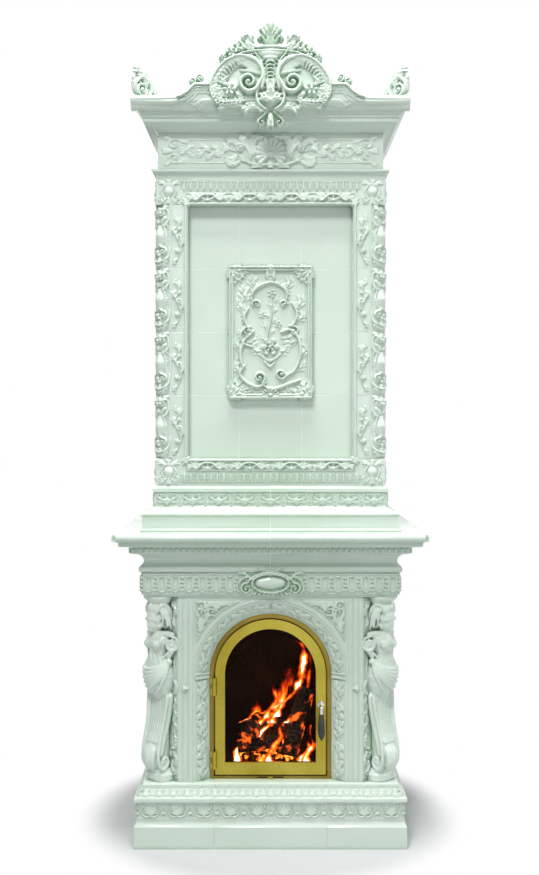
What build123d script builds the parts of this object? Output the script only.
from build123d import *
import math
import os

# Tiled stove. Millimetres, +Z up, front towards -Y, origin on the floor under the middle of
# the stove's box. A projection is how far a face stands out from the face of the plinth, on
# the front and on both sides alike; the back is one flat plane against the wall.

# Plan
PLINTH_HALF_WIDTH = 438.0
PLINTH_FRONT_Y = -336.0
BACK_Y = 400.0
LOWER_WALL = 60.0
LOWER_FACE = -32.0
LOWER_INNER = LOWER_FACE - LOWER_WALL
UPPER_FACE = -65.0
UPPER_WALL = 60.0
UPPER_INNER = UPPER_FACE - UPPER_WALL
FIELD_DEPTH = 32.0
FIELD_SLOPE = 10.0
JOINT = 2.0

# Heights of the courses, bottom to top
PLINTH_HEIGHT = 88.0
BAND_HEIGHT = 73.0
LEDGE_HEIGHT = 44.0
BODY_HEIGHT = 598.0
FRIEZE_HEIGHT = 79.0
CORNICE_HEIGHT = 104.0
MANTEL_HEIGHT = 28.0
STEP_HEIGHT = 71.0
SCROLL_HEIGHT = 77.0
FOOT_HEIGHT = 86.0
ROW_COUNT = 4
ROW_HEIGHT = 207.0
HEAD_HEIGHT = 84.0
NECK_HEIGHT = 32.0
SHELL_HEIGHT = 119.0
CROWN_HEIGHT = 55.0
FASCIA_HEIGHT = 40.0
PLINTH_TOP = PLINTH_HEIGHT
BAND_TOP = PLINTH_TOP + BAND_HEIGHT
LEDGE_TOP = BAND_TOP + LEDGE_HEIGHT
BODY_TOP = LEDGE_TOP + BODY_HEIGHT
FRIEZE_TOP = BODY_TOP + FRIEZE_HEIGHT
CORNICE_TOP = FRIEZE_TOP + CORNICE_HEIGHT
MANTEL_TOP = CORNICE_TOP + MANTEL_HEIGHT
STEP_TOP = MANTEL_TOP + STEP_HEIGHT
SCROLL_TOP = STEP_TOP + SCROLL_HEIGHT
FOOT_TOP = SCROLL_TOP + FOOT_HEIGHT
HEAD_BOTTOM = FOOT_TOP + ROW_COUNT * ROW_HEIGHT
HEAD_TOP = HEAD_BOTTOM + HEAD_HEIGHT
NECK_TOP = HEAD_TOP + NECK_HEIGHT
SHELL_TOP = NECK_TOP + SHELL_HEIGHT
CROWN_TOP = SHELL_TOP + CROWN_HEIGHT
FASCIA_TOP = CROWN_TOP + FASCIA_HEIGHT

# Tile widths
BASE_JOINT_X = 180.0
BASE_JOINTS_Y = (-78.0, 160.0)
CORNER_LEG = 104.0
SURROUND_EDGE = 20.0
LOWER_CHAMFER = 110.0
FIELD_JOINT_X = 103.0

# Door set
ARCH_RISE = 339.0
ARCH_Z = LEDGE_TOP + ARCH_RISE
REVEAL_SPLAY = 47.0
REVEAL_DEPTH = 33.0
MORTAR = 0.5
FRAME_R = 198.0
FRAME_BAND = 13.0
FRAME_SILL = 9.0
FRAME_DEPTH = 40.0
FRAME_LIP_WIDTH = 13.0
FRAME_LIP = 5.0
LIP_SILL_Z = 30.0
LEAF_GAP = 5.0
LEAF_SILL_GAP = 4.0
LEAF_DEPTH = 22.0
LEAF_STILE = 31.5
LEAF_SILL = 40.0
PANE_EDGE = 6.5
PANE_THICKNESS = 4.0
PANE_SEAL = 2.0
REBATE_CLEARANCE = 1.0
SEAL_CLEARANCE = 0.3
RUNNING = 0.05
HINGE_STAND_OFF = 8.0
HINGE_R = 7.5
PIN_R = 3.0
EYE_HEIGHT = 18.0
EYE_GAP = 0.5
HINGE_RISES = (61.5, 300.5)
SPINDLE_EDGE = 15.5
SPINDLE_RISE = 241.0
SPINDLE_R = 4.0
HANDLE_STAND_OFF = 42.0
GRIP_R = 11.0
GRIP_LENGTH = 86.0
TONGUE_TIP = 4.0
SLIDE_WIDTH = 16.0
SLIDE_SLOT = 86.0
SLOT_HEIGHT = 4.4
SLOT_PLAY = 0.2

# Hearth and flue
BRICK = 60.0
BASE_SLAB = 95.0
FLOOR_TOP = LEDGE_TOP
GRATE_RECESS = 25.0
GRATE_SEAT = FLOOR_TOP - GRATE_RECESS
HEARTH_PLAY = 2.0
HEARTH_BACK = 240.0
GRATE_HALF_X = 118.0
GRATE_FRONT = -124.0
GRATE_BACK = 104.0
GRATE_LEDGE = 14.0
GRATE_THICKNESS = 22.0
GRATE_PLAY = 0.5
GRATE_SLOTS = 9
SLOT_WIDTH = 10.0
PAN_PLAY = 4.0
PAN_HEIGHT = 70.0
PAN_WALL = 1.5
CEILING = 60.0
THROAT_HALF = 150.0
THROAT_DEPTH = 110.0
LINING = 40.0
SLAB = 40.0
SHELF = 30.0
LOW_SHELF_RISE = 386.0
HIGH_SHELF_RISE = 786.0
FLUE_RISE = 1066.0
FLUE_R = 75.3
SLEEVE_HALF = 100.0

# Places that follow from the sizes above
REVEAL_OUTER_R = FRAME_R + REVEAL_SPLAY
FRAME_INNER_R = FRAME_R - FRAME_BAND
FRAME_LIP_R = FRAME_INNER_R - FRAME_LIP_WIDTH
LEAF_R = FRAME_INNER_R - LEAF_GAP
HINGE_X = -(LEAF_R + LEAF_GAP / 2)
SPINDLE_X = LEAF_R - SPINDLE_EDGE
SPINDLE_Z = LEDGE_TOP + SPINDLE_RISE
HEARTH_HALF = FRAME_R + HEARTH_PLAY
FLUE_Z = MANTEL_TOP + FLUE_RISE

parts = {}
grout = {"grout_lower": [], "grout_upper": []}


def front_y(projection):
    return PLINTH_FRONT_Y - projection


def side_x(projection):
    return PLINTH_HALF_WIDTH + projection


def block(x0, x1, y0, y1, z0, z1):
    """A straight block between two corners."""
    return Solid.make_box(x1 - x0, y1 - y0, z1 - z0).moved(Location((x0, y0, z0)))


def rod(start, direction, radius, length):
    """A round rod from start along direction."""
    return Solid.make_cylinder(radius, length, Plane(origin=start, z_dir=direction))


def mirrored(solids):
    """The same solids on the other side of the stove."""
    return [solid.mirror(Plane.YZ) for solid in solids]


def both(solids):
    return solids + mirrored(solids)


def all_solids(shape):
    """The solids of a shape, whether it is one solid or several."""
    return list(shape.solids())


def edges_through(points, place):
    """A closed run of edges. A third value in a point is the rise of the arc that ends there,
    to the left of the way the outline runs."""
    edges = []
    for start, end in zip(points, points[1:] + points[:1]):
        a = place(start[0], start[1])
        b = place(end[0], end[1])
        if len(end) == 3:
            du = end[0] - start[0]
            dv = end[1] - start[1]
            length = math.hypot(du, dv)
            u = (start[0] + end[0]) / 2 - end[2] * dv / length
            v = (start[1] + end[1]) / 2 + end[2] * du / length
            edges.append(Edge.make_three_point_arc(a, place(u, v), b))
        else:
            edges.append(Edge.make_line(a, b))
    return edges


def run(points, place, direction):
    """The outline, drawn by place, drawn out along direction."""
    face = Face(Wire(edges_through(points, place)))
    return Solid.extrude(face, Vector(*direction))


def front_run(profile, x0, x1):
    return run(profile, lambda p, z: (x0, front_y(p), z), (x1 - x0, 0, 0))


def side_run(profile, y0, y1):
    return run(profile, lambda p, z: (side_x(p), y0, z), (0, y1 - y0, 0))


def plan(points, z0, z1):
    return run(points, lambda x, y: (x, y, z0), (0, 0, z1 - z0))


FAR = 1200.0
MITRE = PLINTH_HALF_WIDTH + PLINTH_FRONT_Y
FRONT_ZONE = plan([(0, MITRE), (-FAR, MITRE - FAR), (FAR, MITRE - FAR)], -FAR, 3 * FAR)
SIDE_ZONE = plan(
    [(0, MITRE), (FAR, MITRE - FAR), (FAR, BACK_Y), (0, BACK_Y)], -FAR, 3 * FAR
)


def profile_of(face, inner):
    """Closes a face line, bottom to top, with a straight inner side."""
    return face + [(inner, face[-1][1]), (inner, face[0][1])]


def front_piece(profile, x0, x1):
    return front_run(profile, x0, x1) & FRONT_ZONE


def side_piece(profile, y0, y1):
    return side_run(profile, y0, y1) & SIDE_ZONE


def course(name, face, inner, joints_x, joints_y, storey, wrapped=True):
    """One course of tiles round the front and both sides. Wrapped corner tiles turn the
    corner in one piece, and the others meet in a mitre. Every joint holds grout."""
    profile = profile_of(face, inner)
    half = JOINT / 2
    reach = side_x(max(point[0] for point in face))
    front_end = front_y(max(point[0] for point in face))
    cuts = [-reach, *joints_x, reach]
    tiles = []
    for x0, x1 in zip(cuts[1:-2], cuts[2:-1]):
        tiles += all_solids(front_piece(profile, x0 + half, x1 - half))
    front_end_tile = front_piece(profile, cuts[-2] + half, reach)
    side_end_tile = side_piece(profile, front_end, joints_y[0] - half)
    if wrapped:
        corner = all_solids(front_end_tile + side_end_tile)
    else:
        corner = all_solids(front_end_tile) + all_solids(side_end_tile)
    tiles += both(corner)
    side_cuts = [*joints_y, BACK_Y + half]
    for y0, y1 in zip(side_cuts[:-1], side_cuts[1:]):
        tiles += both(all_solids(side_piece(profile, y0 + half, y1 - half)))
    for x in joints_x:
        grout[storey] += all_solids(front_run(profile, x - half, x + half))
    for y in joints_y:
        grout[storey] += both(all_solids(side_run(profile, y - half, y + half)))
    parts[name] = tiles


def ring_arch(radius, bottom, y0, y1):
    """A block with a round-arched top, centred on the door."""
    outline = [(-radius, bottom), (radius, bottom), (radius, ARCH_Z)]
    outline.append((-radius, ARCH_Z, -radius))
    return run(outline, lambda x, z: (x, y0, z), (0, y1 - y0, 0))


# Base: three front tiles a side, wrapped corners
BASE_X = (-BASE_JOINT_X, BASE_JOINT_X)
PLINTH_FACE = [(0, 0), (0, PLINTH_TOP - 18), (-8, PLINTH_TOP, 2)]
BAND_FACE = [
    (-8, PLINTH_TOP),
    (-8, PLINTH_TOP + 8),
    (-9, BAND_TOP - 15, 2),
    (0, BAND_TOP - 11),
    (0, BAND_TOP),
]
LEDGE_FACE = [
    (0, BAND_TOP),
    (-6, BAND_TOP + 3),
    (-24, LEDGE_TOP - 17, 3),
    (-25, LEDGE_TOP - 5),
    (LOWER_FACE, LEDGE_TOP),
]
course("plinth_tiles", PLINTH_FACE, LOWER_INNER, BASE_X, BASE_JOINTS_Y, "grout_lower")
course("base_band_tiles", BAND_FACE, LOWER_INNER, BASE_X, BASE_JOINTS_Y, "grout_lower")
course("base_ledge_tiles", LEDGE_FACE, LOWER_INNER, BASE_X, BASE_JOINTS_Y, "grout_lower")

# Lower storey: corner tiles cut away at 45 degrees for the herms
LOWER_FRONT = front_y(LOWER_FACE)
LOWER_BACK_FACE = front_y(LOWER_INNER)
LOWER_SIDE = side_x(LOWER_FACE)
LOWER_IN = side_x(LOWER_INNER)
CORNER_X = REVEAL_OUTER_R + SURROUND_EDGE + JOINT
CORNER_Y = LOWER_FRONT + LOWER_SIDE - CORNER_X + SURROUND_EDGE
INNER_CHAMFER = 40.0
corner_plan = [
    (CORNER_X, LOWER_FRONT),
    (LOWER_SIDE - LOWER_CHAMFER, LOWER_FRONT),
    (LOWER_SIDE, LOWER_FRONT + LOWER_CHAMFER),
    (LOWER_SIDE, CORNER_Y),
    (LOWER_IN, CORNER_Y),
    (LOWER_IN, LOWER_BACK_FACE + INNER_CHAMFER),
    (LOWER_IN - INNER_CHAMFER, LOWER_BACK_FACE),
    (CORNER_X, LOWER_BACK_FACE),
]
corner_tile = plan(corner_plan, LEDGE_TOP, BODY_TOP)
parts["corner_panel_tiles"] = both([corner_tile])

LOWER_SIDE_JOINTS = (CORNER_Y, 110.0)
half_joint = JOINT / 2
side_tiles = []
side_ends = [*LOWER_SIDE_JOINTS, BACK_Y + half_joint]
for y0, y1 in zip(side_ends[:-1], side_ends[1:]):
    side_tiles.append(
        block(LOWER_IN, LOWER_SIDE, y0 + half_joint * 2, y1 - half_joint, LEDGE_TOP, BODY_TOP)
    )
parts["lower_side_tiles"] = both(side_tiles)
for y in LOWER_SIDE_JOINTS:
    gap_end = y + half_joint * 2
    gap_start = y if y == CORNER_Y else y - half_joint
    strip = block(LOWER_IN, LOWER_SIDE, gap_start, gap_end, LEDGE_TOP, BODY_TOP)
    grout["grout_lower"] += both([strip])

# Door surround: two jamb tiles and one arch tile with a splayed reveal
REVEAL_Y = LOWER_FRONT + REVEAL_DEPTH
SURROUND_X = CORNER_X - JOINT
HOLE_R = FRAME_R + MORTAR
SPRING_Z = ARCH_Z - half_joint
jamb_plan = [
    (SURROUND_X, LOWER_FRONT),
    (REVEAL_OUTER_R, LOWER_FRONT),
    (HOLE_R, REVEAL_Y),
    (HOLE_R, LOWER_BACK_FACE),
    (SURROUND_X, LOWER_BACK_FACE),
]
parts["jamb_tiles"] = both([plan(jamb_plan, LEDGE_TOP, SPRING_Z - half_joint)])
arch_block = block(
    -SURROUND_X, SURROUND_X, LOWER_FRONT, LOWER_BACK_FACE, SPRING_Z + half_joint, BODY_TOP
)
splay_plane = Plane(origin=(0, LOWER_FRONT, ARCH_Z), z_dir=(0, 1, 0))
splay = Solid.make_cone(REVEAL_OUTER_R, HOLE_R, REVEAL_DEPTH, splay_plane)
arch_hole = rod((0, REVEAL_Y - 1, ARCH_Z), (0, 1, 0), HOLE_R, LOWER_WALL)
parts["arch_tile"] = all_solids(arch_block - splay - arch_hole)
for x0, x1 in ((SURROUND_X, CORNER_X), (-CORNER_X, -SURROUND_X)):
    strip = block(x0, x1, LOWER_FRONT, LOWER_BACK_FACE, LEDGE_TOP, BODY_TOP)
    grout["grout_lower"].append(strip)
grout["grout_lower"] += both(
    [plan(jamb_plan, SPRING_Z - half_joint, SPRING_Z + half_joint)]
)

# Herms: a figure on each front corner, on a tapering console, set at 45 degrees
HERM_Z0 = LEDGE_TOP
HERM_HEAD_Z = BODY_TOP - 91.0
HERM_HEAD_R = 27.0
HERM_SHOULDER_Z = BODY_TOP - 155.0
HERM_HIP_Z = BODY_TOP - 341.0
HERM_SCROLL_Z = LEDGE_TOP + 57.0
DIAGONAL = math.sqrt(0.5)


def herm_point(out, z):
    """A point on the corner's 45 degree plane, at a projection from the plinth's corner."""
    return (side_x(-out), front_y(-out), z)


def herm_cone(out, z0, r0, z1, r1):
    return Solid.make_cone(r0, r1, z1 - z0, Plane(origin=herm_point(out, z0)))


def herm_ball(out, z, radius):
    return Solid.make_sphere(radius, Plane(origin=herm_point(out, z)))


def herm_scroll(out, z, radius, width):
    """A volute lying across the corner."""
    across = Vector(DIAGONAL, DIAGONAL, 0)
    start = Vector(*herm_point(out, z)) - across * (width / 2)
    return rod(tuple(start), tuple(across), radius, width)


pedestal_keep = plan(
    [
        (LOWER_SIDE - LOWER_CHAMFER, LOWER_FRONT - 30),
        (LOWER_SIDE + 30, LOWER_FRONT - 30),
        (LOWER_SIDE + 30, LOWER_FRONT + LOWER_CHAMFER),
        (LOWER_SIDE, LOWER_FRONT + LOWER_CHAMFER),
        (LOWER_SIDE - LOWER_CHAMFER, LOWER_FRONT),
    ],
    LEDGE_TOP,
    LEDGE_TOP + 50,
)
HERM_BASE_FACE = [(-26, LEDGE_TOP), (-30, LEDGE_TOP + 14), (-40, LEDGE_TOP + 40, 4)]
herm_base = profile_of(HERM_BASE_FACE, -90)
pedestal = front_piece(herm_base, CORNER_X, side_x(0))
pedestal = pedestal + side_piece(herm_base, PLINTH_FRONT_Y, CORNER_Y)
herm_shapes = [
    herm_scroll(58, HERM_SCROLL_Z, 26, 78),
    herm_cone(66, HERM_SCROLL_Z, 24, HERM_HIP_Z, 40),
    herm_cone(62, HERM_HIP_Z - 7, 30, HERM_HIP_Z + 43, 46),
    herm_cone(62, HERM_HIP_Z + 43, 46, HERM_HIP_Z + 98, 43),
    herm_cone(64, HERM_HIP_Z + 98, 43, HERM_HIP_Z + 138, 33),
    herm_cone(64, HERM_HIP_Z + 138, 33, HERM_SHOULDER_Z, 42),
    herm_cone(64, HERM_SHOULDER_Z, 42, HERM_SHOULDER_Z + 24, 20),
    herm_ball(52, HERM_SHOULDER_Z - 16, 21),
    herm_cone(62, HERM_SHOULDER_Z + 20, 14, HERM_HEAD_Z - 12, 12),
    herm_ball(58, HERM_HEAD_Z, HERM_HEAD_R),
    herm_ball(60, HERM_HEAD_Z + 18, HERM_HEAD_R),
    herm_cone(64, HERM_HEAD_Z + 28, 26, BODY_TOP - 28, 42),
    herm_cone(64, BODY_TOP - 28, 42, BODY_TOP, 46),
]
herm = pedestal & pedestal_keep
for shape in herm_shapes:
    herm = herm + shape
shoulder_away = Vector(-DIAGONAL, -DIAGONAL, 0) * 62
for offset in (shoulder_away, -shoulder_away):
    centre = Vector(*herm_point(80, HERM_SHOULDER_Z - 4)) + offset
    toward = Vector(DIAGONAL, -DIAGONAL, 0)
    herm = herm + rod(tuple(centre - toward * 20), tuple(toward), 29, 34)
herm_room = plan(
    [
        (LOWER_SIDE - LOWER_CHAMFER - 34, LOWER_FRONT - 30),
        (LOWER_SIDE + 30, LOWER_FRONT - 30),
        (LOWER_SIDE + 30, LOWER_FRONT + LOWER_CHAMFER + 34),
        (LOWER_SIDE, LOWER_FRONT + LOWER_CHAMFER + 34),
        (LOWER_SIDE, LOWER_FRONT + LOWER_CHAMFER),
        (LOWER_SIDE - LOWER_CHAMFER, LOWER_FRONT),
        (LOWER_SIDE - LOWER_CHAMFER - 34, LOWER_FRONT),
    ],
    HERM_Z0,
    BODY_TOP,
)
herm_right = all_solids(herm & herm_room)
parts["herm_right"] = herm_right
parts["herm_left"] = mirrored(herm_right)

# Fluted frieze with its cartouche, cornice and mantel
FRIEZE_FACE = [(-28, BODY_TOP), (-28, BODY_TOP + 7), (-23, BODY_TOP + 10), (-23, FRIEZE_TOP)]
CORNICE_FACE = [
    (-23, FRIEZE_TOP),
    (-23, FRIEZE_TOP + 24, -9),
    (-29, FRIEZE_TOP + 30),
    (-29, CORNICE_TOP - 62),
    (0, CORNICE_TOP - 41, 6),
    (10, CORNICE_TOP - 37),
    (10, CORNICE_TOP - 22),
    (36, CORNICE_TOP - 15, 3),
    (44, CORNICE_TOP - 12),
    (44, CORNICE_TOP),
]
MANTEL_FACE = [
    (48, CORNICE_TOP),
    (50, CORNICE_TOP + 5),
    (50, MANTEL_TOP - 3, -14),
    (46, MANTEL_TOP),
]
FRIEZE_JOINTS = (-CORNER_X, CORNER_X)
MANTEL_JOINTS_Y = (-60.0, 170.0)
FRIEZE_SIDE = (-180.0, 0.0, 190.0)
course("fluted_frieze_tiles", FRIEZE_FACE, LOWER_INNER, FRIEZE_JOINTS, FRIEZE_SIDE, "grout_lower")
course("lower_cornice_tiles", CORNICE_FACE, LOWER_INNER, (0,), MANTEL_JOINTS_Y, "grout_lower", False)
course("mantel_tiles", MANTEL_FACE, LOWER_INNER, (0,), MANTEL_JOINTS_Y, "grout_lower", False)

FRIEZE_FRONT = front_y(-23)
CARTOUCHE_Z = BODY_TOP + 45.0
cartouche_at = (0, FRIEZE_FRONT, CARTOUCHE_Z)
cartouche_plane = Plane(origin=cartouche_at, x_dir=(1, 0, 0), z_dir=(0, -1, 0))
cartouche = Solid.extrude(Face(Wire.make_ellipse(62, 32, cartouche_plane)), Vector(0, -12, 0))
leaf_low = CARTOUCHE_Z - 10
leaf_high = CARTOUCHE_Z + 28
for x in (-78, 78):
    cartouche = cartouche + rod((x, FRIEZE_FRONT, CARTOUCHE_Z - 16), (0, -1, 0), 24, 12)
    leaf = block(min(x, x * 0.2), max(x, x * 0.2), FRIEZE_FRONT - 10, FRIEZE_FRONT, leaf_low, leaf_high)
    cartouche = cartouche + leaf
parts["frieze_cartouche"] = all_solids(cartouche)

# Foot of the upper storey
STEP_FACE = [
    (-18, MANTEL_TOP),
    (-18, MANTEL_TOP + 5),
    (-25, MANTEL_TOP + 10),
    (-25, STEP_TOP - 21),
    (-21, STEP_TOP - 18),
    (-21, STEP_TOP - 14),
    (-47, STEP_TOP, 4),
]
SCROLL_FACE = [
    (-47, STEP_TOP),
    (-59, STEP_TOP + 13, 3),
    (-59, SCROLL_TOP - 25),
    (-54, SCROLL_TOP - 21),
    (-54, SCROLL_TOP - 11),
    (UPPER_FACE, SCROLL_TOP, 3),
]
FOOT_FACE = [(UPPER_FACE, SCROLL_TOP), (UPPER_FACE, FOOT_TOP - 8)]
FOOT_FACE += [(UPPER_FACE - FIELD_DEPTH, FOOT_TOP)]
UPPER_SIDE = side_x(UPPER_FACE)
UPPER_FRONT = front_y(UPPER_FACE)
UPPER_JOINT_X = UPPER_SIDE - CORNER_LEG
UPPER_JOINT_Y = UPPER_FRONT + CORNER_LEG
SIDE_FIELD_END = BACK_Y - CORNER_LEG
SIDE_FIELD = SIDE_FIELD_END - UPPER_JOINT_Y
SIDE_TILES = 2
UPPER_SIDE_JOINTS = [UPPER_JOINT_Y + SIDE_FIELD * i / SIDE_TILES for i in range(SIDE_TILES + 1)]
UPPER_FRONT_JOINTS = (-UPPER_JOINT_X, -FIELD_JOINT_X, FIELD_JOINT_X, UPPER_JOINT_X)
course("step_tiles", STEP_FACE, UPPER_INNER, (0,), MANTEL_JOINTS_Y, "grout_upper", False)
course("scroll_band_tiles", SCROLL_FACE, UPPER_INNER, (0,), MANTEL_JOINTS_Y, "grout_upper", False)


def rail_course(z0, z1, slope_at_top):
    """A rail of the upper storey: full face, with its edge towards the field sloped."""
    slope_z = z1 - 8 if slope_at_top else z0 + 8
    recess = UPPER_FACE - FIELD_DEPTH
    if slope_at_top:
        face = [(UPPER_FACE, z0), (UPPER_FACE, slope_z), (recess, z1)]
        stile = [(UPPER_FACE, z0), (UPPER_FACE, z1)]
    else:
        face = [(recess, z0), (UPPER_FACE, slope_z), (UPPER_FACE, z1)]
        stile = [(UPPER_FACE, z0), (UPPER_FACE, z1)]
    rail = profile_of(face, UPPER_INNER)
    full = profile_of(stile, UPPER_INNER)
    tiles = []
    cuts = UPPER_FRONT_JOINTS
    for x0, x1 in zip(cuts[:-1], cuts[1:]):
        tiles.append(front_run(rail, x0 + half_joint, x1 - half_joint))
    corner = front_piece(full, UPPER_JOINT_X + half_joint, UPPER_SIDE)
    corner = corner + side_piece(full, UPPER_FRONT, UPPER_JOINT_Y - half_joint)
    tiles += both(all_solids(corner))
    for y0, y1 in zip(UPPER_SIDE_JOINTS[:-1], UPPER_SIDE_JOINTS[1:]):
        tiles += both([side_run(rail, y0 + half_joint, y1 - half_joint)])
    tiles += both([side_run(full, SIDE_FIELD_END + half_joint, BACK_Y)])
    for x in cuts:
        grout["grout_upper"].append(front_run(rail, x - half_joint, x + half_joint))
    for y in UPPER_SIDE_JOINTS:
        grout["grout_upper"] += both([side_run(rail, y - half_joint, y + half_joint)])
    return tiles


rails = rail_course(SCROLL_TOP, FOOT_TOP, True)
rails += rail_course(HEAD_BOTTOM, HEAD_TOP, False)
parts["rail_tiles"] = rails

# Upper storey: rows of corner tiles and of plain field tiles set back from them
CORNER_ROUND = 40.0
UPPER_IN = side_x(UPPER_INNER)
UPPER_BACK_FACE = front_y(UPPER_INNER)
FIELD_X = side_x(UPPER_FACE - FIELD_DEPTH)
FIELD_Y = front_y(UPPER_FACE - FIELD_DEPTH)
ROUND_RISE = -CORNER_ROUND * (1 - DIAGONAL)
upper_corner_plan = [
    (UPPER_JOINT_X + half_joint, FIELD_Y),
    (UPPER_JOINT_X + FIELD_SLOPE, UPPER_FRONT),
    (UPPER_SIDE - CORNER_ROUND, UPPER_FRONT),
    (UPPER_SIDE, UPPER_FRONT + CORNER_ROUND, ROUND_RISE),
    (UPPER_SIDE, UPPER_JOINT_Y - FIELD_SLOPE),
    (FIELD_X, UPPER_JOINT_Y - half_joint),
    (UPPER_IN, UPPER_JOINT_Y - half_joint),
    (UPPER_IN, UPPER_BACK_FACE),
    (UPPER_JOINT_X + half_joint, UPPER_BACK_FACE),
]
back_corner_plan = [
    (FIELD_X, SIDE_FIELD_END + half_joint),
    (UPPER_SIDE, SIDE_FIELD_END + FIELD_SLOPE),
    (UPPER_SIDE, BACK_Y),
    (UPPER_IN, BACK_Y),
    (UPPER_IN, SIDE_FIELD_END + half_joint),
]
corner_tiles = []
field_tiles = []
side_field_tiles = []
for row in range(ROW_COUNT):
    z0 = FOOT_TOP + row * ROW_HEIGHT + (half_joint if row else 0)
    z1 = FOOT_TOP + (row + 1) * ROW_HEIGHT - (half_joint if row < ROW_COUNT - 1 else 0)
    corner_tiles += both([plan(upper_corner_plan, z0, z1), plan(back_corner_plan, z0, z1)])
    for x0, x1 in zip(UPPER_FRONT_JOINTS[:-1], UPPER_FRONT_JOINTS[1:]):
        tile = block(x0 + half_joint, x1 - half_joint, FIELD_Y, UPPER_BACK_FACE, z0, z1)
        field_tiles.append(tile)
    for y0, y1 in zip(UPPER_SIDE_JOINTS[:-1], UPPER_SIDE_JOINTS[1:]):
        tile = block(UPPER_IN, FIELD_X, y0 + half_joint, y1 - half_joint, z0, z1)
        side_field_tiles += both([tile])
    for x in UPPER_FRONT_JOINTS:
        strip = block(x - half_joint, x + half_joint, FIELD_Y, UPPER_BACK_FACE, z0, z1)
        grout["grout_upper"].append(strip)
    for y in UPPER_SIDE_JOINTS:
        strip = block(UPPER_IN, FIELD_X, y - half_joint, y + half_joint, z0, z1)
        grout["grout_upper"] += both([strip])
    if row:
        low = FOOT_TOP + row * ROW_HEIGHT - half_joint
        high = low + JOINT
        bed_x = UPPER_JOINT_X + half_joint
        bed = block(-bed_x, bed_x, FIELD_Y, UPPER_BACK_FACE, low, high)
        side_bed = block(
            UPPER_IN, FIELD_X, UPPER_JOINT_Y - half_joint, SIDE_FIELD_END + half_joint, low, high
        )
        corner_beds = [plan(upper_corner_plan, low, high), plan(back_corner_plan, low, high)]
        grout["grout_upper"] += [bed] + both([side_bed] + corner_beds)
parts["upper_corner_tiles"] = corner_tiles
parts["upper_field_tiles"] = field_tiles
parts["upper_side_field_tiles"] = side_field_tiles

# Relief plaque in the middle of the field
PLAQUE_HALF_X = 140.0
PLAQUE_HEIGHT = 440.0
PLAQUE_Z0 = FOOT_TOP + 193.0
PLAQUE_Z1 = PLAQUE_Z0 + PLAQUE_HEIGHT
PLAQUE_DEPTH = 30.0
PLAQUE_BORDER = 24.0
PLAQUE_SUNK = 14.0
plaque = block(-PLAQUE_HALF_X, PLAQUE_HALF_X, FIELD_Y - PLAQUE_DEPTH, FIELD_Y, PLAQUE_Z0, PLAQUE_Z1)
plaque = plaque - block(
    -PLAQUE_HALF_X + PLAQUE_BORDER,
    PLAQUE_HALF_X - PLAQUE_BORDER,
    FIELD_Y - PLAQUE_DEPTH,
    FIELD_Y - PLAQUE_DEPTH + PLAQUE_SUNK,
    PLAQUE_Z0 + PLAQUE_BORDER,
    PLAQUE_Z1 - PLAQUE_BORDER,
)
plaque_centre = (0, FIELD_Y - PLAQUE_DEPTH + PLAQUE_SUNK, (PLAQUE_Z0 + PLAQUE_Z1) / 2)
oval = Wire.make_ellipse(88, 150, Plane(origin=plaque_centre, x_dir=(1, 0, 0), z_dir=(0, -1, 0)))
oval_in = Wire.make_ellipse(66, 126, Plane(origin=plaque_centre, x_dir=(1, 0, 0), z_dir=(0, -1, 0)))
plaque = plaque + (
    Solid.extrude(Face(oval), Vector(0, -10, 0)) - Solid.extrude(Face(oval_in), Vector(0, -10, 0))
)
parts["relief_plaque"] = all_solids(plaque)

# Neck moulding, shell frieze and crown cornice
SHELL_FACE_P = -70.0
NECK_FACE = [
    (UPPER_FACE, HEAD_TOP),
    (-53, HEAD_TOP + 20, 3),
    (-51, HEAD_TOP + 23),
    (-51, HEAD_TOP + 28),
    (SHELL_FACE_P, NECK_TOP),
]
SHELL_FACE = [(SHELL_FACE_P, NECK_TOP), (SHELL_FACE_P, SHELL_TOP)]
CROWN_FACE = [
    (SHELL_FACE_P, SHELL_TOP),
    (-28, SHELL_TOP + 24, 7),
    (-24, SHELL_TOP + 26),
    (-24, SHELL_TOP + 38),
    (-10, SHELL_TOP + 46, 2),
    (-2, SHELL_TOP + 48),
    (-2, CROWN_TOP),
]
FASCIA_FACE = [
    (-2, CROWN_TOP),
    (8, CROWN_TOP + 22, 3),
    (10, CROWN_TOP + 26),
    (10, CROWN_TOP + 34),
    (6, FASCIA_TOP),
]
course("neck_moulding_tiles", NECK_FACE, UPPER_INNER, (0,), UPPER_SIDE_JOINTS[1:2], "grout_upper", False)
course("shell_frieze_tiles", SHELL_FACE, UPPER_INNER, FRIEZE_JOINTS, UPPER_SIDE_JOINTS[:2], "grout_upper")
course("crown_cornice_tiles", CROWN_FACE, UPPER_INNER, (0,), MANTEL_JOINTS_Y, "grout_upper", False)

SHELL_FRONT = front_y(SHELL_FACE_P)
SHELL_Z = (NECK_TOP + SHELL_TOP) / 2
shell_plane = Plane(origin=(0, SHELL_FRONT, SHELL_Z), x_dir=(1, 0, 0), z_dir=(0, -1, 0))
shell = Solid.make_cone(58, 40, 16, shell_plane)
for side in (-1, 1):
    x0, x1 = sorted((side * 40, side * 200))
    shell = shell + block(x0, x1, SHELL_FRONT - 8, SHELL_FRONT, SHELL_Z - 14, SHELL_Z + 18)
parts["shell_ornament"] = all_solids(shell)

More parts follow.
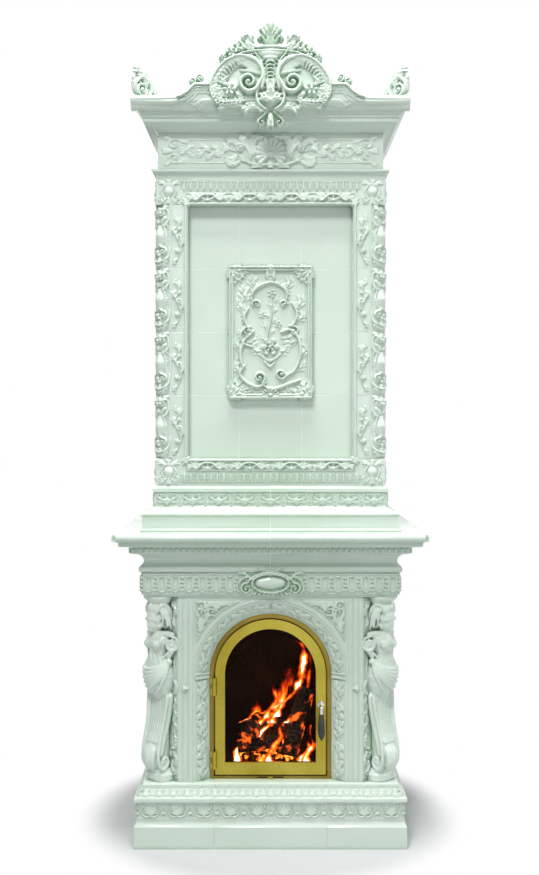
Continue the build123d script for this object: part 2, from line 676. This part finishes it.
# Fascia on the crown, open in the middle of the front where the pediment stands
PEDIMENT_HALF = 300.0
PEDIMENT_RISE = 166.0
CREST_HALF = 62.0
fascia = profile_of(FASCIA_FACE, UPPER_FACE)
FASCIA_REACH = side_x(10)
fascia_corner = all_solids(front_piece(fascia, PEDIMENT_HALF, FASCIA_REACH))
fascia_corner += all_solids(side_piece(fascia, front_y(10), MANTEL_JOINTS_Y[0] - half_joint))
fascia_sides = []
fascia_cuts = [*MANTEL_JOINTS_Y, BACK_Y + half_joint]
for y0, y1 in zip(fascia_cuts[:-1], fascia_cuts[1:]):
    fascia_sides.append(side_run(fascia, y0 + half_joint, y1 - half_joint))
for y in MANTEL_JOINTS_Y:
    grout["grout_upper"] += both([side_run(fascia, y - half_joint, y + half_joint)])
parts["crown_cornice_tiles"] += both(fascia_corner + fascia_sides)

# Pediment: a raking band over a sunk field
PEDIMENT_DEPTH = 70.0
PEDIMENT_SUNK = 16.0
BAND_WIDTH = 40.0
PEDIMENT_FRONT = front_y(8)


def pediment_outline(inset):
    """Half of the pediment's outline mirrored, drawn in by inset."""
    base = FASCIA_TOP - inset
    right = [
        (PEDIMENT_HALF, CROWN_TOP - inset),
        (PEDIMENT_HALF, base),
        (PEDIMENT_HALF - 32, base + 18, -3),
        (PEDIMENT_HALF - 66, base + 42, 3),
        (PEDIMENT_HALF - 108 - inset * 0.3, base + 46),
        (PEDIMENT_HALF - 174 - inset * 0.5, base + 137, 12),
        (CREST_HALF - inset * 0.3, base + PEDIMENT_RISE, -6),
        (0, base + PEDIMENT_RISE),
    ]
    left = []
    for previous, point in zip(right[:-1], right[1:]):
        rise = point[2:] if len(point) == 3 else ()
        left.append((-previous[0], previous[1], *rise))
    left.reverse()
    return right + left


pediment = run(pediment_outline(0), lambda x, z: (x, PEDIMENT_FRONT, z), (0, PEDIMENT_DEPTH, 0))
sunk = run(
    pediment_outline(BAND_WIDTH), lambda x, z: (x, PEDIMENT_FRONT, z), (0, PEDIMENT_SUNK, 0)
)
sunk_x = PEDIMENT_HALF - 1
sunk_room = block(-sunk_x, sunk_x, -FAR, 0, CROWN_TOP + 8, FASCIA_TOP + FAR)
parts["pediment"] = all_solids(pediment - (sunk & sunk_room))

# Crest of the pediment: two volutes, a plaque between them and a finial on top
CREST_Y = PEDIMENT_FRONT + PEDIMENT_SUNK
VOLUTE_X = 66.0
VOLUTE_Z = FASCIA_TOP + 44.0
PEDIMENT_TOP = FASCIA_TOP + PEDIMENT_RISE
crest = block(-58, 58, CREST_Y - 16, CREST_Y, PEDIMENT_TOP - 60, PEDIMENT_TOP - 12)
for side in (-1, 1):
    crest = crest + rod((side * VOLUTE_X, CREST_Y, VOLUTE_Z), (0, -1, 0), 36, 30)
    crest = crest + block(
        min(side * 20, side * 60), max(side * 20, side * 60), CREST_Y - 14, CREST_Y, VOLUTE_Z, VOLUTE_Z + 80
    )
crest = crest + block(-24, 24, CREST_Y - 14, CREST_Y, VOLUTE_Z - 50, VOLUTE_Z + 70)
parts["pediment_crest"] = all_solids(crest - parts["pediment"][0])

FINIAL_Y = PEDIMENT_FRONT + 22
finial = block(-CREST_HALF, CREST_HALF, FINIAL_Y - 18, FINIAL_Y + 18, PEDIMENT_TOP, PEDIMENT_TOP + 18)
for side in (-1, 1):
    finial = finial + rod((side * 58, FINIAL_Y - 14, PEDIMENT_TOP + 22), (0, 1, 0), 20, 28)
finial = finial + Solid.make_cone(24, 12, 34, Plane(origin=(0, FINIAL_Y, PEDIMENT_TOP + 14)))
finial = finial + Solid.make_cone(12, 28, 16, Plane(origin=(0, FINIAL_Y, PEDIMENT_TOP + 36)))
finial = finial + Solid.make_cone(28, 8, 30, Plane(origin=(0, FINIAL_Y, PEDIMENT_TOP + 52)))
parts["finial"] = all_solids(finial)

# Volutes on the crown's front corners, set at 45 degrees
VOLUTE_OUT = 36.0
corner_at = Vector(*herm_point(VOLUTE_OUT, FASCIA_TOP))
across = Vector(DIAGONAL, DIAGONAL, 0)
outward = Vector(DIAGONAL, -DIAGONAL, 0)
volute = rod(tuple(corner_at + Vector(0, 0, 30) - across * 20), tuple(across), 30, 40)
stem_start = corner_at + Vector(0, 0, 30)
volute = volute + Solid.make_cone(24, 10, 60, Plane(origin=tuple(stem_start)))
volute = volute + Solid.make_sphere(13, Plane(origin=tuple(corner_at + outward * 8 + Vector(0, 0, 86))))
above_fascia = block(0, FAR, -FAR, 0, FASCIA_TOP, FASCIA_TOP + FAR)
parts["corner_volutes"] = both(all_solids(volute & above_fascia))

# Masonry inside the lower storey
IN_X = LOWER_IN
IN_Y = LOWER_BACK_FACE
REAR_Y = BACK_Y - BRICK
parts["base_slab"] = [block(-IN_X, IN_X, IN_Y, REAR_Y, 0, BASE_SLAB)]
PIT_X = GRATE_HALF_X - GRATE_LEDGE
PIT_FRONT = GRATE_FRONT + GRATE_LEDGE
PIT_BACK = GRATE_BACK - GRATE_LEDGE
BRICK_BACK = HEARTH_BACK + BRICK


def planks_round(hole_x, hole_y0, hole_y1, x, y0, y1, z0, z1):
    """Four planks round an opening."""
    planks = [block(-x, x, y0, hole_y0, z0, z1), block(-x, x, hole_y1, y1, z0, z1)]
    planks += both([block(hole_x, x, hole_y0, hole_y1, z0, z1)])
    return planks


hearth_bricks = planks_round(
    PIT_X, PIT_FRONT, PIT_BACK, IN_X, IN_Y, BRICK_BACK, BASE_SLAB, GRATE_SEAT
)
hearth_bricks += planks_round(
    GRATE_HALF_X, GRATE_FRONT, GRATE_BACK, IN_X, IN_Y, BRICK_BACK, GRATE_SEAT, FLOOR_TOP
)
parts["hearth_bricks"] = hearth_bricks
PIER_BACK = IN_Y + BRICK
WALL_X = HEARTH_HALF + BRICK
LINTEL_Z = ARCH_Z + FRAME_R + 4
piers = both([block(HEARTH_HALF, IN_X - INNER_CHAMFER - 6, IN_Y, PIER_BACK, FLOOR_TOP, BODY_TOP)])
lintel = block(-HEARTH_HALF, HEARTH_HALF, IN_Y, PIER_BACK, LINTEL_Z, BODY_TOP)
parts["firebox_front_bricks"] = piers + [lintel]
brick_rows = 3
brick_height = (BODY_TOP - FLOOR_TOP) / brick_rows
side_bricks = []
back_bricks = []
for row in range(brick_rows):
    z0 = FLOOR_TOP + row * brick_height
    z1 = z0 + brick_height
    side_bricks += both([block(HEARTH_HALF, WALL_X, PIER_BACK, HEARTH_BACK, z0, z1)])
    back_bricks.append(block(-WALL_X, WALL_X, HEARTH_BACK, BRICK_BACK, z0, z1))
parts["firebox_wall_bricks"] = side_bricks + back_bricks
boards = both([block(WALL_X, IN_X, PIER_BACK, BRICK_BACK, FLOOR_TOP, BODY_TOP)])
boards.append(block(-IN_X, IN_X, BRICK_BACK, REAR_Y, BASE_SLAB, BODY_TOP))
parts["insulation_boards"] = boards
CEILING_TOP = BODY_TOP + CEILING
throat_front = HEARTH_BACK - THROAT_DEPTH
parts["firebox_ceiling_slabs"] = planks_round(
    THROAT_HALF, throat_front, HEARTH_BACK, IN_X, IN_Y, REAR_Y, BODY_TOP, CEILING_TOP
)
smoke_walls = [block(-IN_X, IN_X, IN_Y, PIER_BACK, CEILING_TOP, CORNICE_TOP)]
smoke_walls += both([block(IN_X - BRICK, IN_X, PIER_BACK, REAR_Y, CEILING_TOP, CORNICE_TOP)])
MID_HALF_Y = 100.0
parts["smoke_box_bricks"] = smoke_walls + planks_round(
    THROAT_HALF, -MID_HALF_Y, MID_HALF_Y, IN_X, IN_Y, REAR_Y, CORNICE_TOP, MANTEL_TOP
)
rear_wall = [block(-IN_X, IN_X, REAR_Y, BACK_Y, 0, MANTEL_TOP)]

# Masonry inside the upper storey
LINING_X = UPPER_IN - LINING
LINING_Y = UPPER_BACK_FACE + LINING
LINING_TOP = CROWN_TOP - SLAB
lining_rows = 4
lining_height = (LINING_TOP - MANTEL_TOP) / lining_rows
lining = []
for row in range(lining_rows):
    z0 = MANTEL_TOP + row * lining_height
    z1 = z0 + lining_height
    lining.append(block(-UPPER_IN, UPPER_IN, UPPER_BACK_FACE, LINING_Y, z0, z1))
    lining += both([block(LINING_X, UPPER_IN, LINING_Y, REAR_Y, z0, z1)])
parts["upper_lining_bricks"] = lining
LOW_SHELF = MANTEL_TOP + LOW_SHELF_RISE
HIGH_SHELF = MANTEL_TOP + HIGH_SHELF_RISE
low_shelf = block(-LINING_X, LINING_X, LINING_Y, REAR_Y - 190, LOW_SHELF, LOW_SHELF + SHELF)
high_shelf = block(-LINING_X, LINING_X, LINING_Y + 171, REAR_Y, HIGH_SHELF, HIGH_SHELF + SHELF)
parts["flue_baffles"] = [low_shelf, high_shelf]
SLEEVE_Z0 = FLUE_Z - SLEEVE_HALF
SLEEVE_Z1 = FLUE_Z + SLEEVE_HALF
rear_wall += [
    block(-UPPER_IN, UPPER_IN, REAR_Y, BACK_Y, MANTEL_TOP, SLEEVE_Z0),
    block(-UPPER_IN, UPPER_IN, REAR_Y, BACK_Y, SLEEVE_Z1, LINING_TOP),
]
rear_wall += both([block(SLEEVE_HALF, UPPER_IN, REAR_Y, BACK_Y, SLEEVE_Z0, SLEEVE_Z1)])
parts["rear_wall"] = rear_wall
sleeve = block(-SLEEVE_HALF, SLEEVE_HALF, REAR_Y, BACK_Y, SLEEVE_Z0, SLEEVE_Z1)
flue_bore = rod((0, REAR_Y - 1, FLUE_Z), (0, 1, 0), FLUE_R, BRICK + 2)
parts["flue_collar"] = all_solids(sleeve - flue_bore)
cover_split = 90.0
parts["top_cover_slabs"] = [
    block(-UPPER_IN, UPPER_IN, UPPER_BACK_FACE, cover_split, LINING_TOP, CROWN_TOP),
    block(-UPPER_IN, UPPER_IN, cover_split, BACK_Y, LINING_TOP, CROWN_TOP),
]

# Grate and ash pan
grate_x = GRATE_HALF_X - GRATE_PLAY
grate_y0 = GRATE_FRONT + GRATE_PLAY
grate_y1 = GRATE_BACK - GRATE_PLAY
grate = block(-grate_x, grate_x, grate_y0, grate_y1, GRATE_SEAT, GRATE_SEAT + GRATE_THICKNESS)
slot_pitch = 2 * (grate_x - 14) / GRATE_SLOTS
slot_length = grate_y1 - grate_y0 - 44
for i in range(GRATE_SLOTS):
    x = (i - (GRATE_SLOTS - 1) / 2) * slot_pitch
    y0 = (grate_y0 + grate_y1 - slot_length) / 2
    slot = block(
        x - SLOT_WIDTH / 2,
        x + SLOT_WIDTH / 2,
        y0,
        y0 + slot_length,
        GRATE_SEAT - 1,
        GRATE_SEAT + GRATE_THICKNESS + 1,
    )
    grate = grate - slot
parts["grate"] = all_solids(grate)
pan_x = PIT_X - PAN_PLAY
pan_y0 = PIT_FRONT + PAN_PLAY
pan_y1 = PIT_BACK - PAN_PLAY
pan = block(-pan_x, pan_x, pan_y0, pan_y1, BASE_SLAB, BASE_SLAB + PAN_HEIGHT)
pan = pan - block(
    -pan_x + PAN_WALL,
    pan_x - PAN_WALL,
    pan_y0 + PAN_WALL,
    pan_y1 - PAN_WALL,
    BASE_SLAB + PAN_WALL,
    BASE_SLAB + PAN_HEIGHT + 1,
)
parts["ash_pan"] = all_solids(pan)

# Fixed door frame, flush with the foot of the splayed reveal
FRAME_FRONT = REVEAL_Y
FRAME_BACK = FRAME_FRONT + FRAME_DEPTH
FRAME_BOTTOM = FLOOR_TOP
FRAME_INNER_Z = FRAME_BOTTOM + FRAME_SILL
LEAF_BACK = FRAME_FRONT + LEAF_DEPTH
LIP_Y = LEAF_BACK + 3.0
SLOT_Z = FRAME_BOTTOM + FRAME_SILL / 2
frame = ring_arch(FRAME_R, FRAME_BOTTOM, FRAME_FRONT, FRAME_BACK)
frame = frame - ring_arch(FRAME_INNER_R, FRAME_INNER_Z, FRAME_FRONT, LIP_Y)
frame = frame - ring_arch(FRAME_INNER_R, FRAME_INNER_Z, LIP_Y + FRAME_LIP, FRAME_BACK)
frame = frame - ring_arch(FRAME_LIP_R, FRAME_BOTTOM + LIP_SILL_Z, FRAME_FRONT, FRAME_BACK)
frame = frame - block(
    -SLIDE_SLOT / 2,
    SLIDE_SLOT / 2,
    FRAME_FRONT - 1,
    FRAME_BACK + 1,
    SLOT_Z - SLOT_HEIGHT / 2,
    SLOT_Z + SLOT_HEIGHT / 2,
)
parts["door_frame"] = all_solids(frame)
anchors = []
for z in (LEDGE_TOP + 95, LEDGE_TOP + 295):
    foot = block(FRAME_INNER_R + 2, HEARTH_HALF, FRAME_BACK, FRAME_BACK + 3, z, z + 24)
    tail = block(HEARTH_HALF - 3, HEARTH_HALF, FRAME_BACK, PIER_BACK - 10, z, z + 24)
    anchors += both(all_solids(foot + tail))
keeper = block(
    FRAME_LIP_R + 1,
    FRAME_INNER_R,
    LIP_Y + FRAME_LIP,
    LIP_Y + FRAME_LIP + 8,
    SPINDLE_Z - 20,
    SPINDLE_Z + 20,
)
parts["frame_fittings"] = anchors + [keeper]

# Hinges: two fixed eyes and one moving eye on each pin
HINGE_Y = FRAME_FRONT - HINGE_STAND_OFF
PLATE = 3.0
EYE_STEP = EYE_HEIGHT + EYE_GAP


def hinge_eye(z, toward):
    """An eye round the pin with a plate that runs to x = toward on the door's face."""
    x0, x1 = sorted((HINGE_X, toward))
    z0 = z - EYE_HEIGHT / 2
    z1 = z + EYE_HEIGHT / 2
    eye = rod((HINGE_X, HINGE_Y, z0), (0, 0, 1), HINGE_R, EYE_HEIGHT)
    eye = eye + block(x0, x1, FRAME_FRONT - PLATE, FRAME_FRONT, z0, z1)
    bore = rod((HINGE_X, HINGE_Y, z0 - 1), (0, 0, 1), PIN_R + RUNNING, EYE_HEIGHT + 2)
    return all_solids(eye - bore)


frame_eyes = []
leaf_eyes = []
pins = []
for rise in HINGE_RISES:
    z = LEDGE_TOP + rise
    frame_eyes += hinge_eye(z - EYE_STEP, -FRAME_R + 2)
    frame_eyes += hinge_eye(z + EYE_STEP, -FRAME_R + 2)
    leaf_eyes += hinge_eye(z, HINGE_X + 12)
    pin_length = 3 * EYE_HEIGHT + 2 * EYE_GAP
    pin = rod((HINGE_X, HINGE_Y, z - pin_length / 2), (0, 0, 1), PIN_R, pin_length)
    cap = rod((HINGE_X, HINGE_Y, z + pin_length / 2), (0, 0, 1), PIN_R + 1.5, 2.5)
    pins += all_solids(pin + cap)
parts["hinge_frame_eyes"] = frame_eyes
parts["hinge_leaf_eyes"] = leaf_eyes
parts["hinge_pins"] = pins

# Door leaf with its pane, seals and clips
LEAF_Z = FRAME_INNER_Z + LEAF_SILL_GAP
GLASS_R = LEAF_R - LEAF_STILE
GLASS_Z = LEAF_Z + LEAF_SILL
PANE_R = GLASS_R + PANE_EDGE
PANE_Z = GLASS_Z - PANE_EDGE
REBATE_R = PANE_R + REBATE_CLEARANCE
REBATE_Z = PANE_Z - REBATE_CLEARANCE
CLIP_TOE = 3.0
PANE_BACK = LEAF_BACK - CLIP_TOE
PANE_FRONT = PANE_BACK - PANE_THICKNESS
REBATE_Y = PANE_FRONT - PANE_SEAL
leaf = ring_arch(LEAF_R, LEAF_Z, FRAME_FRONT, LEAF_BACK)
leaf = leaf - ring_arch(GLASS_R, GLASS_Z, FRAME_FRONT, LEAF_BACK)
leaf = leaf - ring_arch(REBATE_R, REBATE_Z, REBATE_Y, LEAF_BACK)
spindle_hole = rod(
    (SPINDLE_X, FRAME_FRONT - 1, SPINDLE_Z), (0, 1, 0), SPINDLE_R + RUNNING, LEAF_DEPTH + 2
)
leaf = leaf - spindle_hole
parts["door_leaf"] = all_solids(leaf)
parts["door_pane"] = [ring_arch(PANE_R, PANE_Z, PANE_FRONT, PANE_BACK)]
pane_seal = ring_arch(PANE_R, PANE_Z, REBATE_Y, PANE_FRONT)
pane_seal = pane_seal - ring_arch(GLASS_R + 1, GLASS_Z - 1, REBATE_Y, PANE_FRONT)
SEAL_END = LIP_Y - SEAL_CLEARANCE
door_seal = ring_arch(LEAF_R - 1, LEAF_Z + 1, LEAF_BACK, SEAL_END)
seal_in = ring_arch(FRAME_LIP_R + 1, FRAME_BOTTOM + LIP_SILL_Z - 1, LEAF_BACK, SEAL_END)
parts["rope_seals"] = all_solids(pane_seal) + all_solids(door_seal - seal_in)

CLIP_THICKNESS = 2.0
CLIP_HALF = 9.0
SCREW_R = 2.5
SCREW_DEPTH = 8.0
CLIP_IN = PANE_R - 6
CLIP_OUT = PANE_R + 9
clips = []
screws = []


def pane_clip(place):
    """A clip that holds the pane's edge, drawn at the right-hand side and placed round."""
    plate = block(CLIP_IN, CLIP_OUT, LEAF_BACK, LEAF_BACK + CLIP_THICKNESS, -CLIP_HALF, CLIP_HALF)
    toe = block(CLIP_IN, PANE_R - 1, PANE_BACK, LEAF_BACK, -CLIP_HALF, CLIP_HALF)
    hole_x = (REBATE_R + CLIP_OUT) / 2
    hole = rod((hole_x, LEAF_BACK - 1, 0), (0, 1, 0), SCREW_R, 5)
    screw = rod((hole_x, LEAF_BACK - SCREW_DEPTH, 0), (0, 1, 0), SCREW_R, SCREW_DEPTH + 1)
    screw = screw + rod((hole_x, LEAF_BACK + CLIP_THICKNESS, 0), (0, 1, 0), SCREW_R + 1, 1.2)
    screw = screw + rod((hole_x, LEAF_BACK, 0), (0, 1, 0), SCREW_R, CLIP_THICKNESS)
    clips.extend(solid.moved(place) for solid in all_solids(plate + toe - hole))
    screws.extend(solid.moved(place) for solid in all_solids(screw))


CLIP_RISES = (115.0, 300.0)
for rise in CLIP_RISES:
    z = LEDGE_TOP + rise
    pane_clip(Location((0, 0, z)))
    pane_clip(Location((0, 0, z), (0, 180, 0)))
for angle in (45, 90, 135):
    pane_clip(Location((0, 0, ARCH_Z), (0, -angle, 0)))
for x in (-80.0, 80.0):
    pane_clip(Location((x, 0, PANE_Z + PANE_R), (0, 90, 0)))
parts["pane_clips"] = clips
parts["clip_screws"] = screws
screw_room = screws[0]
for screw in screws[1:]:
    screw_room = screw_room + screw
parts["door_leaf"] = all_solids(leaf - screw_room)

# Handle: a spindle through the leaf, a bent neck and a drop-shaped grip
HANDLE_Y = FRAME_FRONT - HANDLE_STAND_OFF
SPINDLE_END = LIP_Y + FRAME_LIP + 1.0
TONGUE_END = SPINDLE_END + 6.0
NECK_R = 6.0
GRIP_TOP = SPINDLE_Z - 20.0
rosette = rod((SPINDLE_X, FRAME_FRONT - 3, SPINDLE_Z), (0, 1, 0), 11, 3)
rosette = rosette - rod(
    (SPINDLE_X, FRAME_FRONT - 4, SPINDLE_Z), (0, 1, 0), SPINDLE_R + RUNNING, 5
)
parts["handle_rosette"] = all_solids(rosette)
spindle = rod((SPINDLE_X, HANDLE_Y, SPINDLE_Z), (0, 1, 0), SPINDLE_R, SPINDLE_END - HANDLE_Y)
neck = rod((SPINDLE_X, HANDLE_Y, SPINDLE_Z), (0, 1, 0), NECK_R, HANDLE_STAND_OFF - 3.5)
neck = neck + Solid.make_sphere(NECK_R + 1, Plane(origin=(SPINDLE_X, HANDLE_Y, SPINDLE_Z)))
neck = neck + rod((SPINDLE_X, HANDLE_Y, GRIP_TOP), (0, 0, 1), NECK_R, SPINDLE_Z - GRIP_TOP)
parts["handle_neck"] = all_solids(spindle + neck)
grip_outline = [
    (0, GRIP_TOP),
    (0, GRIP_TOP - GRIP_LENGTH),
    (GRIP_R, GRIP_TOP - GRIP_LENGTH * 0.62, -4),
    (NECK_R, GRIP_TOP, -1),
]
grip_face = Face(
    Wire(edges_through(grip_outline, lambda r, z: (SPINDLE_X + r, HANDLE_Y, z)))
)
grip_axis = Axis((SPINDLE_X, HANDLE_Y, 0), (0, 0, 1))
parts["handle_grip"] = [Solid.revolve(grip_face, 360, grip_axis)]
tongue_z = 6.0
tongue = block(
    SPINDLE_X - 10,
    SPINDLE_X + TONGUE_TIP,
    SPINDLE_END,
    TONGUE_END,
    SPINDLE_Z - tongue_z,
    SPINDLE_Z + tongue_z,
)
parts["latch_tongue"] = all_solids(tongue)

# Air slide in the frame's sill
NUB_HEIGHT = 7.0
slide = block(
    -SLIDE_WIDTH / 2,
    SLIDE_WIDTH / 2,
    FRAME_FRONT - 5,
    FRAME_FRONT - 0.3,
    SLOT_Z - NUB_HEIGHT / 2,
    SLOT_Z + NUB_HEIGHT / 2,
)
slide = slide + block(
    -6,
    6,
    FRAME_FRONT - 1,
    FRAME_BACK + 1,
    SLOT_Z - SLOT_HEIGHT / 2 + SLOT_PLAY,
    SLOT_Z + SLOT_HEIGHT / 2 - SLOT_PLAY,
)
slide = slide + block(
    -30,
    30,
    FRAME_BACK + 0.3,
    FRAME_BACK + 2.3,
    FRAME_BOTTOM + 0.5,
    FRAME_INNER_Z - 0.5,
)
parts["air_slide"] = all_solids(slide)


def joined(solids):
    """Grout strips that meet, as one piece each."""
    whole = solids[0]
    for solid in solids[1:]:
        whole = whole + solid
    return all_solids(whole)


for name, strips in grout.items():
    parts[name] = joined(strips)

os.makedirs("parts", exist_ok=True)
for name, solids in parts.items():
    shape = solids[0] if len(solids) == 1 else Compound(solids)
    export_step(shape, f"parts/{name}.step")
    print(name, len(solids))
